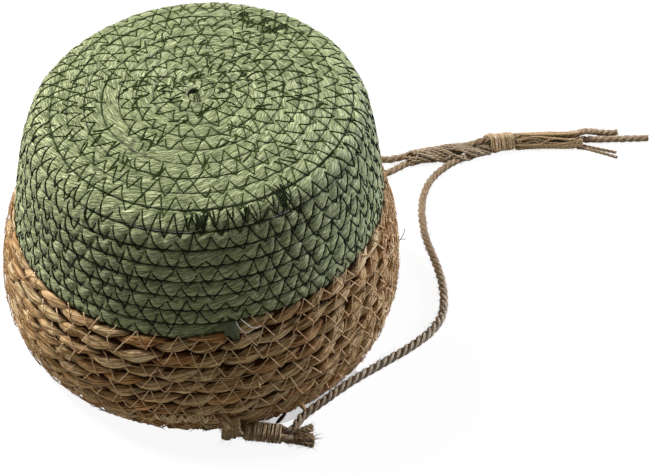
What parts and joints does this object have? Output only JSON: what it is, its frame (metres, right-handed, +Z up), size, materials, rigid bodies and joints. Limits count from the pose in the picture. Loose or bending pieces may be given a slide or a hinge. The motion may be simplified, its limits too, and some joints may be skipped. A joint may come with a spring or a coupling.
{
  "type": "hanging planter basket",
  "caption": "Round basket of coiled, sewn cord in two colours, with a film liner and rope hangers bound together, lying mouth down.",
  "frame": {"origin": "middle of the mouth, on the floor that the rim stands on, at the bottom centre of the basket without its ropes", "axes": "+Z up, from the mouth to the base, as the basket stands upside down; +Y away from the picture's camera, +X to its right, along which the gathered ropes lie"},
  "size_m": [0.37, 0.272, 0.1382],
  "materials": {
    "green_cord": "dyed flattened paper raffia with a fine crinkle along its length, sewn with near-black green thread",
    "leaf_cord": "natural twisted leaf cord, tan to brown, smooth strips with a soft sheen, sewn with beige thread",
    "liner_film": "thin clear plastic film, slightly milky",
    "jute_rope": "three-strand twisted jute, hairy",
    "twine": "thin jute twine, wound close"
  },
  "bodies": {
    "root": {"base_coil": "green_cord", "green_wall_coil": "green_cord", "natural_wall_coil": "leaf_cord", "liner": "liner_film", "front_eye": "jute_rope", "right_eye": "jute_rope", "left_eye": "jute_rope", "front_seizing": "twine", "right_seizing": "twine", "left_seizing": "twine", "front_rope": "jute_rope", "right_rope": "jute_rope", "left_rope": "jute_rope", "front_rope_far_strand": "jute_rope", "front_rope_near_strand": "jute_rope", "gather_whipping": "twine"}
  },
  "joints": []
}
